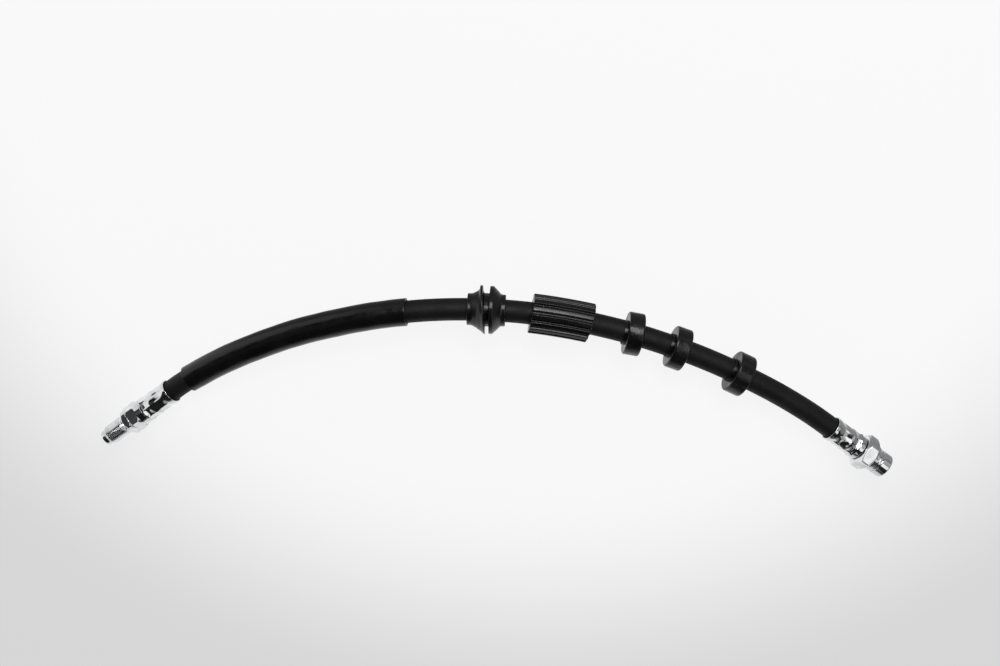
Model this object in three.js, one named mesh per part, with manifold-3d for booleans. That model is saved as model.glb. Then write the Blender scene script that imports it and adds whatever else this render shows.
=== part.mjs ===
import * as THREE from "three";
import { mergeVertices } from "three/addons/utils/BufferGeometryUtils.js";
import Module from "manifold-3d";

// Brake hose: a rubber hose with a crimped male union at one end and a crimped female union at
// the other. It carries a protective sleeve, a bracket grommet, a ribbed sleeve and three rings.
// It lies in a shallow bow on the plane Z = 0. Millimetres, +Z up, +X from the male end to the
// female end.

// Hose, from the bore outwards
const boreDiameter = 3.2;
const linerWall = 0.8;
const braidWall = 0.7;
const hoseDiameter = 11;
const layerClearance = 0.25;

// Axis of the hose between the two ferrule mouths, as it lies
const route = [
  [-162.2, -14.2, 7.47],
  [-157.5, -10.5, 7.47],
  [-149.7, -5.1, 7.8],
  [-136.0, 3.3, 8.7],
  [-121.7, 10.8, 9.5],
  [-106.9, 17.4, 10.2],
  [-91.7, 23.1, 10.7],
  [-76.3, 27.7, 11.1],
  [-60.5, 31.5, 11.4],
  [-44.6, 34.4, 11.7],
  [-28.5, 36.3, 11.9],
  [-12.3, 37.1, 11.95],
  [3.9, 36.9, 11.95],
  [20.0, 35.7, 11.8],
  [36.0, 33.4, 11.5],
  [51.8, 30.2, 11.1],
  [67.5, 26.2, 10.7],
  [83.0, 21.4, 10.52],
  [98.2, 16.0, 10.52],
  [113.1, 9.8, 10.52],
  [127.7, 2.8, 10.5],
  [142.0, -5.0, 9.9],
  [155.8, -13.6, 9.2],
  [162.5, -18.2, 9.04],
  [169.0, -22.9, 9.04],
];

// Protective sleeve, measured along the hose from the male mouth
const sleeveStart = 11.7;
const sleeveLength = 119.4;
const sleeveWall = 1;
const sleeveClearance = 0.25;

// Bracket grommet with two lips and a groove between them
const sleeveToGrommet = 29.6;
const grommetLength = 18.5;
const grommetHubDiameter = 15.4;
const grommetHubLength = 2.2;
const grommetGrooveDiameter = 16.2;
const grommetGrooveWidth = 2.7;
const grommetGrooveOffset = 0.15;
const frontLipDiameter = 23.8;
const frontLipThickness = 0.9;
const rearLipDiameter = 23.2;
const rearLipThickness = 1.8;

// Ribbed sleeve
const grommetToRibbed = 12.4;
const ribbedLength = 29.1;
const ribbedDiameter = 19.4;
const ribCount = 15;
const ribTurn = -2.8;
const ribHeight = 0.9;
const ribTopShare = 0.5;
const ribRootShare = 0.74;

// Stop rings, each with a short neck on the male side
const ringDiameter = 21;
const ringEdge = 0.9;
const ringEdgeSteps = 3;
const ringNeckDiameter = 12.6;
const ringNeckFlare = 0.4;
const ringNeckLength = 1.3;
const ringGaps = [16.7, 14.1, 23.9];
const ringLengths = [7.8, 7.8, 8.2];
const slipClearance = 0.3;

// Crimped ferrules, measured from the mouth towards the union
const ferruleWall = 0.75;
const ferruleMouthDiameter = 13.2;
const crimpWaistDiameter = 11;
const crimpBulgeDiameter = 12.3;
const crimpJaws = 8;
const jawRidge = 0.22;
const pressClearance = 0.3;
const mouthPlain = 0.8;
const coverStep = 0.05;

// Male side: ferrule with a hexagonal collar, then hexagon, thread and pilot
const maleFirstWaist = 6.8;
const maleBulge = 11.1;
const maleWaist = 14.8;
const maleBodyDiameter = 12.9;
const maleBodyStart = 17.2;
const malePocket = 19.4;
const maleCollarStart = 20.8;
const maleFerruleLength = 25.8;
const maleHexFlats = 13;
const maleHexTurn = -24.3;
const maleHexLength = 2.1;
const maleConeLength = 3.5;
const threadDiameter = 9.8;
const maleThreadLength = 11.4;
const pilotDiameter = 7.9;
const pilotLength = 2.8;
const seatDiameter = 5.2;
const seatDepth = 1.9;

// Female side: ferrule, then hexagon, clip grooves and threaded spigot
const femaleFirstWaist = 6.1;
const femaleBulge = 10.7;
const femaleWaist = 14;
const femaleBodyDiameter = 12.8;
const femaleBodyStart = 15.8;
const femalePocket = 16.2;
const femaleFerruleLength = 18.6;
const femaleHexFlats = 16;
const femaleHexTurn = 17.9;
const femaleHexLength = 3.7;
const femaleHexEdge = 1.7;
const femaleHexTaper = 2;
const shoulderDiameter = 13.6;
const shoulderLength = 1.3;
const clipGrooveDiameter = 11.3;
const clipGrooveWidth = 1.3;
const clipRidgeWidth = 0.9;
const sealGrooveWidth = 0.8;
const spigotDiameter = 12.6;
const spigotLength = 5.2;
const tappedDiameter = 8.9;
const tappedDepth = 11;

// Both unions
const neckDiameter = 6.6;
const stemDiameter = 2.5;
const stemBore = 1.5;
const stemStart = 3;
const stemShoulder = 1.5;
const unionBore = 2.8;
const edgeChamfer = 0.6;
const cutOverrun = 1;

// Facets
const hoseSides = 12;
const sleeveSides = 16;
const hoseSteps = 32;
const sleeveSteps = 12;
const ribbedSteps = 4;
const roundSegments = 32;
const coverEndSegments = 16;
const skinSteps = 15;

const rubber = { color: 0x1b1b1d, roughness: 0.62, metalness: 0 };
const glossyRubber = { color: 0x161618, roughness: 0.4, metalness: 0 };
const liningRubber = { color: 0x2a2826, roughness: 0.8, metalness: 0 };
const braidYarn = { color: 0xd8d2c0, roughness: 0.9, metalness: 0 };
const zincPlate = { color: 0xc6c9cd, roughness: 0.28, metalness: 0.9 };

const wasm = await Module();
wasm.setup();

// A closed geometry as a solid that can be joined and cut
function solidOf(geometry) {
  const bare = geometry.clone();
  bare.deleteAttribute("normal");
  bare.deleteAttribute("uv");
  const merged = mergeVertices(bare, 1e-3);
  const vertProperties = merged.attributes.position.array;
  const triVerts = new Uint32Array(merged.index.array);
  return new wasm.Manifold(new wasm.Mesh({ numProp: 3, vertProperties, triVerts }));
}

function geometryOf(solid) {
  const made = solid.getMesh();
  const geometry = new THREE.BufferGeometry();
  geometry.setAttribute("position", new THREE.BufferAttribute(made.vertProperties, 3));
  geometry.setIndex(new THREE.BufferAttribute(made.triVerts, 1));
  geometry.computeVertexNormals();
  return geometry;
}

// A turned form about its own Y axis. The profile is a closed list of [along, radius], with the
// outer side running towards larger values of along.
function turned(profile, segments = roundSegments) {
  const closed = [...profile, profile[0]];
  return new THREE.LatheGeometry(
    closed.map(([along, radius]) => new THREE.Vector2(radius, along)),
    segments,
  );
}

function circle(radius, sides) {
  const points = [];
  for (let i = 0; i < sides; i++) {
    const angle = (i * 2 * Math.PI) / sides;
    points.push(new THREE.Vector2(radius * Math.cos(angle), radius * Math.sin(angle)));
  }
  return points;
}

// The hose continues straight into both ferrules, as far as their pockets let it
const maleInsert = malePocket - pressClearance;
const femaleInsert = femalePocket - pressClearance;
const free = route.map(([x, y, z]) => new THREE.Vector3(x, y, z));
const maleMouth = free[0];
const femaleMouth = free[free.length - 1];
const maleOut = new THREE.Vector3().subVectors(free[0], free[1]).normalize();
const femaleOut = new THREE.Vector3().subVectors(femaleMouth, free[free.length - 2]).normalize();
const axis = new THREE.CatmullRomCurve3([
  maleMouth.clone().addScaledVector(maleOut, maleInsert),
  ...free,
  femaleMouth.clone().addScaledVector(femaleOut, femaleInsert),
]);
axis.arcLengthDivisions = 2000;
const axisLength = axis.getLength();
const freeLength = axisLength - maleInsert - femaleInsert;

// A stretch of the hose axis between two distances from the male mouth
class Stretch extends THREE.Curve {
  constructor(from, to) {
    super();
    this.from = from;
    this.to = to;
  }
  getPoint(t, target = new THREE.Vector3()) {
    const station = this.from + (this.to - this.from) * t;
    const share = (station + maleInsert) / axisLength;
    return axis.getPointAt(THREE.MathUtils.clamp(share, 0, 1), target);
  }
}

// A tube of any section along a stretch of the hose
function sweep(outline, hole, from, to, steps) {
  const section = new THREE.Shape(outline);
  section.holes.push(new THREE.Path(hole));
  const extrudePath = new Stretch(from, to);
  return new THREE.ExtrudeGeometry(section, { steps, bevelEnabled: false, extrudePath });
}

const hose = new THREE.Group();

function add(name, geometry, look) {
  const mesh = new THREE.Mesh(geometry, new THREE.MeshStandardMaterial(look));
  mesh.name = name;
  hose.add(mesh);
  return mesh;
}

// Turns a piece so that its Y axis follows a direction and its X axis points up, or is turned
// from there by some degrees about the direction
function seat(mesh, point, direction, turn = 0) {
  const up = new THREE.Vector3(0, 0, 1).addScaledVector(direction, -direction.z).normalize();
  up.applyAxisAngle(direction, -THREE.MathUtils.degToRad(turn));
  const side = new THREE.Vector3().crossVectors(up, direction);
  mesh.quaternion.setFromRotationMatrix(new THREE.Matrix4().makeBasis(up, direction, side));
  mesh.position.copy(point);
  mesh.updateMatrix();
  return mesh;
}

function seatAtStation(mesh, station) {
  const share = (station + maleInsert) / axisLength;
  return seat(mesh, axis.getPointAt(share), axis.getTangentAt(share));
}

// The ferrule's outer skin from its mouth to the start of its plain body, as [along, radius]
function crimpedSkin(firstWaist, bulge, secondWaist, bodyStart, bodyDiameter) {
  const waist = crimpWaistDiameter / 2;
  const through = [
    [0, ferruleMouthDiameter / 2],
    [mouthPlain + edgeChamfer, ferruleMouthDiameter / 2 - jawRidge],
    [firstWaist, waist],
    [bulge, crimpBulgeDiameter / 2],
    [secondWaist, waist],
    [bodyStart, bodyDiameter / 2],
  ];
  const spline = new THREE.SplineCurve(through.map(([a, r]) => new THREE.Vector2(a, r)));
  const start = through[0];
  return spline.getPoints(skinSteps).map(({ x, y }) => [x, Math.min(y, start[1])]);
}

// Presses the marks of the crimping jaws into the skin: a ridge is left between two jaws
function pressJaws(geometry, skin) {
  const position = geometry.attributes.position;
  const last = skin[skin.length - 1][0];
  for (let i = 0; i < position.count; i++) {
    const x = position.getX(i);
    const z = position.getZ(i);
    const along = position.getY(i);
    const onSkin = skin.some(
      ([a, r]) => Math.abs(a - along) < 1e-4 && Math.abs(r - Math.hypot(x, z)) < 1e-4,
    );
    if (!onSkin || along < mouthPlain * 2 || along > last - jawRidge) continue;
    const jaw = Math.cos(Math.atan2(x, z) * crimpJaws);
    const grow = 1 + (jawRidge * Math.max(0, jaw)) / Math.hypot(x, z);
    position.setXYZ(i, x * grow, along, z * grow);
  }
  return geometry;
}

function ferrule(skin, pocket, collar) {
  const length = collar[collar.length - 1][0];
  const neckBore = neckDiameter / 2 + pressClearance;
  const bodyRadius = skin[skin.length - 1][1];
  const inside = skin
    .filter((_, i) => i % (skinSteps / 5) === 0)
    .map(([a, r]) => [a, r - ferruleWall])
    .reverse();
  const profile = [
    ...skin,
    ...collar,
    [length, neckBore],
    [pocket, neckBore],
    [pocket, bodyRadius - ferruleWall],
    ...inside,
  ];
  return pressJaws(turned(profile), skin);
}

// The end of the cover that the ferrule squeezes, in the ferrule's own frame
function neckedCover(skin, insert) {
  const inner = coverInner + coverStep;
  const squeeze = (r) => Math.min(coverOuter - coverStep, r - ferruleWall - pressClearance);
  const outside = skin.filter(([a], i) => i % (skinSteps / 5) === 0 && a > 0 && a < insert);
  const last = outside[outside.length - 1];
  const profile = [
    [mouthPlain / 2, inner],
    [mouthPlain / 2, coverOuter - coverStep],
    ...outside.map(([a, r]) => [a, squeeze(r)]),
    [insert, squeeze(last[1])],
    [insert, inner],
  ];
  return turned(profile, coverEndSegments);
}

function prismOf(radius, from, to) {
  const prism = new THREE.CylinderGeometry(radius, radius, to - from, 6);
  return prism.translate(0, (from + to) / 2, 0);
}

// A hexagon about the Y axis with both ends chamfered. Its hole is narrower than the neck that
// it is joined to.
function hexagon(flats, from, to, endRadius, chamfers) {
  const corner = flats / Math.sqrt(3);
  const over = corner + edgeChamfer;
  const hole = neckDiameter / 2 - edgeChamfer;
  const prism = prismOf(corner, from - cutOverrun, to + cutOverrun);
  const envelope = turned([
    [from, hole],
    [from, endRadius[0]],
    [from + chamfers[0], over],
    [to - chamfers[1], over],
    [to, endRadius[1]],
    [to, hole],
  ]);
  envelope.rotateY(Math.PI / roundSegments);
  return solidOf(prism).intersect(solidOf(envelope));
}

// Hose layers
const boreRadius = boreDiameter / 2;
const linerOuter = boreRadius + linerWall;
const braidInner = linerOuter + layerClearance;
const braidOuter = braidInner + braidWall;
const coverInner = braidOuter + layerClearance;
const coverOuter = hoseDiameter / 2;

function layer(outer, inner, maleEnd, femaleEnd) {
  const outline = circle(outer, hoseSides);
  const hole = circle(inner, hoseSides);
  return sweep(outline, hole, -maleEnd, freeLength + femaleEnd, hoseSteps);
}

const maleSkin = crimpedSkin(
  maleFirstWaist,
  maleBulge,
  maleWaist,
  maleBodyStart,
  maleBodyDiameter,
);
const femaleSkin = crimpedSkin(
  femaleFirstWaist,
  femaleBulge,
  femaleWaist,
  femaleBodyStart,
  femaleBodyDiameter,
);

function coverGeometry() {
  const maleEnd = seat(new THREE.Mesh(neckedCover(maleSkin, maleInsert)), maleMouth, maleOut);
  const femaleEnd = seat(
    new THREE.Mesh(neckedCover(femaleSkin, femaleInsert)),
    femaleMouth,
    femaleOut,
  );
  let cover = solidOf(layer(coverOuter, coverInner, mouthPlain, mouthPlain));
  for (const end of [maleEnd, femaleEnd]) {
    cover = cover.add(solidOf(end.geometry.clone().applyMatrix4(end.matrix)));
  }
  return geometryOf(cover);
}

add("hose_liner", layer(linerOuter, boreRadius, maleInsert, femaleInsert), liningRubber);
add("hose_braid", layer(braidOuter, braidInner, maleInsert, femaleInsert), braidYarn);
add("hose_cover", coverGeometry(), rubber);

// Protective sleeve, slipped over the hose behind the male ferrule
const sleeveInner = coverOuter + sleeveClearance;
const sleeveOuter = sleeveInner + sleeveWall;
const sleeveEnd = sleeveStart + sleeveLength;
add(
  "protective_sleeve",
  sweep(
    circle(sleeveOuter, sleeveSides),
    circle(sleeveInner, sleeveSides),
    sleeveStart,
    sleeveEnd,
    sleeveSteps,
  ),
  glossyRubber,
);

// Grommet: hub, cone and lip on both sides of the groove that a bracket plate snaps into
function grommetProfile() {
  const half = grommetLength / 2;
  const bore = coverOuter + slipClearance;
  const hub = grommetHubDiameter / 2;
  const floor = grommetGrooveDiameter / 2;
  const front = grommetGrooveOffset - grommetGrooveWidth / 2;
  const rear = grommetGrooveOffset + grommetGrooveWidth / 2;
  const frontLip = frontLipDiameter / 2;
  const rearLip = rearLipDiameter / 2;
  const frontHubEnd = -half + grommetHubLength;
  const rearHubEnd = half - grommetHubLength;
  const frontTip = front - frontLipThickness;
  const rearTip = rear + rearLipThickness;
  const edge = edgeChamfer / 2;
  const flare = (from, to, share) => from + (to - from) * share;
  return [
    [-half, bore],
    [-half, hub - edge],
    [-half + edge, hub],
    [frontHubEnd, hub],
    [flare(frontHubEnd, frontTip, 0.55), flare(hub, frontLip, 0.32)],
    [flare(frontHubEnd, frontTip, 0.85), flare(hub, frontLip, 0.64)],
    [frontTip, frontLip - edge],
    [frontTip + edge, frontLip],
    [front - edge / 2, frontLip],
    [front, frontLip - edge],
    [front, floor],
    [rear, floor],
    [rear, rearLip - edge],
    [rear + edge, rearLip],
    [rearTip, rearLip],
    [flare(rearTip, rearHubEnd, 0.3), flare(rearLip, hub, 0.27)],
    [flare(rearTip, rearHubEnd, 0.68), flare(rearLip, hub, 0.66)],
    [rearHubEnd, hub],
    [half - edge, hub],
    [half, hub - edge],
    [half, bore],
  ];
}

const grommetStation = sleeveEnd + sleeveToGrommet + grommetLength / 2;
seatAtStation(add("grommet", turned(grommetProfile()), rubber), grommetStation);

// Ribbed sleeve: lengthwise ribs all round, bent with the hose
function ribbedOutline() {
  const top = ribbedDiameter / 2;
  const root = top - ribHeight;
  const pitch = (2 * Math.PI) / ribCount;
  const turn = THREE.MathUtils.degToRad(ribTurn);
  const corners = [
    [-ribRootShare / 2, root],
    [-ribTopShare / 2, top],
    [ribTopShare / 2, top],
    [ribRootShare / 2, root],
  ];
  const outline = [];
  for (let i = 0; i < ribCount; i++) {
    for (const [share, radius] of corners) {
      const angle = (i + share) * pitch + turn;
      outline.push(new THREE.Vector2(radius * Math.cos(angle), radius * Math.sin(angle)));
    }
  }
  return outline;
}

const ribbedStart = grommetStation + grommetLength / 2 + grommetToRibbed;
const ribbedEnd = ribbedStart + ribbedLength;
add(
  "ribbed_sleeve",
  sweep(
    ribbedOutline(),
    circle(coverOuter + slipClearance, sleeveSides),
    ribbedStart,
    ribbedEnd,
    ribbedSteps,
  ),
  glossyRubber,
);

// Stop rings with rounded outer edges
function ringProfile(length) {
  const half = length / 2;
  const outer = ringDiameter / 2;
  const bore = coverOuter + slipClearance;
  const round = [];
  for (let i = 0; i <= ringEdgeSteps; i++) {
    const angle = (i / ringEdgeSteps) * (Math.PI / 2);
    round.push([ringEdge * (1 - Math.sin(angle)), ringEdge * (1 - Math.cos(angle))]);
  }
  const neck = ringNeckDiameter / 2;
  const front = round.map(([a, r]) => [-half + r, outer - a]);
  const rear = round.map(([a, r]) => [half - r, outer - a]).reverse();
  return [
    [-half - ringNeckLength, bore],
    [-half - ringNeckLength, neck],
    [-half, neck + ringNeckFlare],
    ...front,
    ...rear,
    [half, bore],
  ];
}

let ringStart = ribbedEnd;
ringLengths.forEach((length, i) => {
  const ring = add(`stop_ring_${i + 1}`, turned(ringProfile(length)), rubber);
  ringStart += ringGaps[i] + ringNeckLength;
  seatAtStation(ring, ringStart + length / 2);
  ringStart += length;
});

// Male end: the collar of the ferrule is cut to the same hexagon as the union
function maleFerrule() {
  const corner = maleHexFlats / Math.sqrt(3);
  const over = corner + edgeChamfer;
  const collar = [
    [maleCollarStart, maleBodyDiameter / 2],
    [maleCollarStart + edgeChamfer * 2, over],
    [maleFerruleLength - edgeChamfer, over],
    [maleFerruleLength, corner - edgeChamfer],
  ];
  const prism = prismOf(corner, maleBodyStart, maleFerruleLength + cutOverrun);
  const plain = prismOf(over * 2, -cutOverrun, maleCollarStart - edgeChamfer);
  const whole = solidOf(ferrule(maleSkin, malePocket, collar));
  return geometryOf(whole.intersect(solidOf(prism).add(solidOf(plain))));
}

function seatMale(name, geometry) {
  return seat(add(name, geometry, zincPlate), maleMouth, maleOut, maleHexTurn);
}

seatMale("male_ferrule", maleFerrule());

function maleUnion() {
  const neckStart = malePocket + pressClearance;
  const hexStart = maleFerruleLength + pressClearance;
  const threadStart = hexStart + maleHexLength + maleConeLength;
  const threadEnd = threadStart + maleThreadLength;
  const tip = threadEnd + pilotLength;
  const thread = threadDiameter / 2;
  const pilot = pilotDiameter / 2;
  const body = turned([
    [stemStart, stemBore / 2],
    [stemStart, stemDiameter / 2],
    [neckStart, stemDiameter / 2],
    [neckStart, neckDiameter / 2],
    [hexStart + maleHexLength / 2, neckDiameter / 2],
    [hexStart + maleHexLength / 2, thread],
    [threadEnd - edgeChamfer, thread],
    [threadEnd, pilot],
    [tip - edgeChamfer, pilot],
    [tip, pilot - edgeChamfer],
    [tip, seatDiameter / 2],
    [tip - seatDepth, unionBore / 2],
    [neckStart + stemShoulder, unionBore / 2],
    [neckStart + stemShoulder, stemBore / 2],
  ]);
  const nut = hexagon(
    maleHexFlats,
    hexStart,
    threadStart,
    [maleHexFlats / 2 - edgeChamfer / 2, thread + edgeChamfer / 2],
    [edgeChamfer, maleConeLength],
  );
  return geometryOf(solidOf(body).add(nut));
}

seatMale("male_union", maleUnion());

// Female end
function seatFemale(name, geometry) {
  return seat(add(name, geometry, zincPlate), femaleMouth, femaleOut, femaleHexTurn);
}

const femaleCollar = [[femaleFerruleLength, femaleBodyDiameter / 2]];
seatFemale("female_ferrule", ferrule(femaleSkin, femalePocket, femaleCollar));

function femaleUnion() {
  const neckStart = femalePocket + pressClearance;
  const hexStart = femaleFerruleLength + pressClearance;
  const hexEnd = hexStart + femaleHexEdge + femaleHexLength + femaleHexTaper;
  const shoulderEnd = hexEnd + shoulderLength;
  const clipEnd = shoulderEnd + clipGrooveWidth;
  const ridgeEnd = clipEnd + clipRidgeWidth;
  const spigotStart = ridgeEnd + sealGrooveWidth;
  const end = spigotStart + spigotLength;
  const spigot = spigotDiameter / 2;
  const groove = clipGrooveDiameter / 2;
  const shoulder = shoulderDiameter / 2;
  const tapped = tappedDiameter / 2;
  const tappedEnd = end - tappedDepth;
  const drillCone = tapped - unionBore / 2;
  const body = turned([
    [stemStart, stemBore / 2],
    [stemStart, stemDiameter / 2],
    [neckStart, stemDiameter / 2],
    [neckStart, neckDiameter / 2],
    [hexStart + femaleHexEdge, neckDiameter / 2],
    [hexStart + femaleHexEdge, shoulder],
    [shoulderEnd, shoulder],
    [shoulderEnd, groove],
    [clipEnd, groove],
    [clipEnd, spigot],
    [ridgeEnd, spigot],
    [ridgeEnd, groove],
    [spigotStart, groove],
    [spigotStart, spigot],
    [end - edgeChamfer, spigot],
    [end, spigot - edgeChamfer],
    [end, tapped + edgeChamfer],
    [end - edgeChamfer, tapped],
    [tappedEnd, tapped],
    [tappedEnd - drillCone / 2, unionBore / 2],
    [neckStart + stemShoulder, unionBore / 2],
    [neckStart + stemShoulder, stemBore / 2],
  ]);
  const nut = hexagon(
    femaleHexFlats,
    hexStart,
    hexEnd,
    [shoulder + edgeChamfer, shoulder + edgeChamfer / 2],
    [femaleHexEdge, femaleHexTaper],
  );
  return geometryOf(solidOf(body).add(nut));
}

seatFemale("female_union", femaleUnion());

export default hose;
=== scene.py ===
import math

import bpy
import numpy as np
from mathutils import Matrix, Vector


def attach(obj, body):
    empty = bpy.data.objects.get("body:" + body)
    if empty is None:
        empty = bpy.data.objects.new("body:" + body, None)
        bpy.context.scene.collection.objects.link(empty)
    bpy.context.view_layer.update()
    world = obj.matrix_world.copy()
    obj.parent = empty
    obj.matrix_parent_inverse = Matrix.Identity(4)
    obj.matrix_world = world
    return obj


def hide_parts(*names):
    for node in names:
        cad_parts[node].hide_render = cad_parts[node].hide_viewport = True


# A rubber brake hose with crimped unions, lying on a pale studio floor. Metres, +Z up.

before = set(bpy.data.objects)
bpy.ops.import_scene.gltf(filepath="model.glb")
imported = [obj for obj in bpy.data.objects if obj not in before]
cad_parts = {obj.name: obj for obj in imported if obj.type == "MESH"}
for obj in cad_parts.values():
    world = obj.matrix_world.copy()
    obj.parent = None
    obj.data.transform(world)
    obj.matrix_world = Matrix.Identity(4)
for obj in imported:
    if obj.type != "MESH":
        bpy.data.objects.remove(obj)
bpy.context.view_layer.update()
print("frame loaded,", len(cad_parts), "nodes")

mm = 0.001


# camera

camera = {
    "place": (0.02427, 0.30492, 0.63275),
    "aim": (0.00321, 0.02461, 0.01104),
    "roll": 185.58,  # degrees about the view line: the picture's top is the hose's outer side
    "lens": 50.4,
}


def makeCamera():
    data = bpy.data.cameras.new("camera")
    data.lens = camera["lens"]
    obj = bpy.data.objects.new("camera", data)
    bpy.context.scene.collection.objects.link(obj)
    back = Vector(camera["place"]) - Vector(camera["aim"])
    turn = back.to_track_quat("Z", "Y").to_matrix().to_4x4()
    roll = Matrix.Rotation(math.radians(camera["roll"]), 4, "Z")
    obj.matrix_world = Matrix.Translation(camera["place"]) @ turn @ roll
    bpy.context.scene.camera = obj


makeCamera()
print("camera made")


# the line of the hose

hose = {
    "route": [
        (-0.1622, -0.0142, 0.00747),
        (-0.1575, -0.0105, 0.00747),
        (-0.1497, -0.0051, 0.0078),
        (-0.1360, 0.0033, 0.0087),
        (-0.1217, 0.0108, 0.0095),
        (-0.1069, 0.0174, 0.0102),
        (-0.0917, 0.0231, 0.0107),
        (-0.0763, 0.0277, 0.0111),
        (-0.0605, 0.0315, 0.0114),
        (-0.0446, 0.0344, 0.0117),
        (-0.0285, 0.0363, 0.0119),
        (-0.0123, 0.0371, 0.01195),
        (0.0039, 0.0369, 0.01195),
        (0.0200, 0.0357, 0.0118),
        (0.0360, 0.0334, 0.0115),
        (0.0518, 0.0302, 0.0111),
        (0.0675, 0.0262, 0.0107),
        (0.0830, 0.0214, 0.01052),
        (0.0982, 0.0160, 0.01052),
        (0.1131, 0.0098, 0.01052),
        (0.1277, 0.0028, 0.0105),
        (0.1420, -0.0050, 0.0099),
        (0.1558, -0.0136, 0.0092),
        (0.1625, -0.0182, 0.00904),
        (0.1690, -0.0229, 0.00904),
    ],
    "diameter": 11 * mm,
    "bore": 3.65 * mm,  # inner radius of the cover, round the braid
    "maleInsert": 19.1 * mm,
    "femaleInsert": 15.9 * mm,
    "rows": 420,
    "columns": 64,
}


def throughPoints(points, perSpan=40):
    # centripetal Catmull-Rom line through the points
    p = np.array(points, float)
    p = np.vstack([2 * p[0] - p[1], p, 2 * p[-1] - p[-2]])
    u = np.linspace(0, 1, perSpan, endpoint=False)[:, None]
    line = []
    for i in range(1, len(p) - 2):
        a, b, c, d = p[i - 1 : i + 3]
        ab, bc, cd = (np.linalg.norm(q) ** 0.5 for q in (b - a, c - b, d - c))
        leave = ((b - a) / ab - (c - a) / (ab + bc) + (c - b) / bc) * bc
        arrive = ((c - b) / bc - (d - b) / (bc + cd) + (d - c) / cd) * bc
        square = 3 * (c - b) - 2 * leave - arrive
        cube = 2 * (b - c) + leave + arrive
        line.append(b + u * leave + u**2 * square + u**3 * cube)
    line.append(p[-2:-1])
    return np.vstack(line)


def unit(v):
    return v / np.linalg.norm(v, axis=-1, keepdims=True)


def hoseEnds():
    route = np.array(hose["route"])
    return route[0], unit(route[0] - route[1]), route[-1], unit(route[-1] - route[-2])


maleMouth, maleOut, femaleMouth, femaleOut = hoseEnds()
hoseLine = throughPoints(
    [
        maleMouth + maleOut * hose["maleInsert"],
        *hose["route"],
        femaleMouth + femaleOut * hose["femaleInsert"],
    ]
)
hoseSteps = np.linalg.norm(np.diff(hoseLine, axis=0), axis=1)
hoseStations = np.concatenate([[0], np.cumsum(hoseSteps)]) - hose["maleInsert"]
freeLength = hoseStations[-1] - hose["femaleInsert"]  # from mouth to mouth
print("hose line made, %.1f mm from mouth to mouth" % (freeLength / mm))


def onHose(stations):
    # points and directions of the hose line at these distances from the male mouth
    stations = np.atleast_1d(np.asarray(stations, float))
    reach = 0.5 * mm

    def at(s):
        return np.stack([np.interp(s, hoseStations, hoseLine[:, k]) for k in range(3)], -1)

    low = np.maximum(stations - reach, hoseStations[0])
    high = np.minimum(stations + reach, hoseStations[-1])
    return at(stations), unit(at(high) - at(low))


# mesh helpers

skinScale = 10  # units of the texture map in a metre


def angles(columns):
    return np.arange(columns) * 2 * math.pi / columns


def cutAxes(directions):
    # the up and side axes of the cuts across these directions
    up = unit(np.array([0, 0, 1.0]) - directions * directions[:, 2:3])
    return up, np.cross(directions, up)


def ringRows(points, directions, radii, columns):
    # one ring of points for each row; angle 0 is up and turns right-handed about the direction
    radii = np.asarray(radii, float)
    if radii.ndim == 1:
        radii = np.repeat(radii[:, None], columns, 1)
    up, side = cutAxes(directions)
    turn = angles(columns)[None, :, None]
    spoke = np.cos(turn) * up[:, None] + np.sin(turn) * side[:, None]
    return points[:, None] + radii[..., None] * spoke


def gridMesh(name, rows, along, look, sharp):
    # rings joined into one closed skin; along gives each row's place for the texture map
    count, columns = rows.shape[:2]
    i = np.repeat(np.arange(count), columns)
    j = np.tile(np.arange(columns), count)
    nextRow, nextColumn = (i + 1) % count, (j + 1) % columns
    faces = np.stack(
        [
            i * columns + j,
            i * columns + nextColumn,
            nextRow * columns + nextColumn,
            nextRow * columns + j,
        ],
        1,
    )
    mesh = bpy.data.meshes.new(name)
    mesh.from_pydata(rows.reshape(-1, 3).tolist(), [], faces.tolist())
    along = np.asarray(along, float)
    radius = np.linalg.norm(rows - rows.mean(1, keepdims=True), axis=2).mean()
    around = 2 * math.pi * radius / columns
    nextAlong = np.where(i + 1 < count, along[nextRow], along[i])
    uv = np.stack(
        [
            np.stack([along[i], j * around], 1),
            np.stack([along[i], (j + 1) * around], 1),
            np.stack([nextAlong, (j + 1) * around], 1),
            np.stack([nextAlong, j * around], 1),
        ],
        1,
    )
    layer = mesh.uv_layers.new(name="skin")
    layer.data.foreach_set("uv", uv.reshape(-1) * skinScale)
    mesh.materials.append(look)
    mesh.shade_smooth()
    mesh.set_sharp_from_angle(angle=math.radians(sharp))
    obj = bpy.data.objects.new(name, mesh)
    bpy.context.scene.collection.objects.link(obj)
    return obj


def rounded(corners, steps=4):
    # corners are (along, radius, edge); each is rounded by its edge, in millimetres
    most = 0.48  # the share of a side that one corner may take
    out = []
    n = len(corners)
    for i, (a, r, edge) in enumerate(corners):
        here = np.array([a, r], float)
        if edge <= 0:
            out.append(here)
            continue
        before = np.array(corners[i - 1][:2]) - here
        after = np.array(corners[(i + 1) % n][:2]) - here
        cutBefore = min(edge, most * np.linalg.norm(before))
        cutAfter = min(edge, most * np.linalg.norm(after))
        first = here + before / np.linalg.norm(before) * cutBefore
        final = here + after / np.linalg.norm(after) * cutAfter
        for t in np.linspace(0, 1, steps + 1):
            out.append((1 - t) ** 2 * first + 2 * t * (1 - t) * here + t**2 * final)
    return np.array(out)


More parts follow.
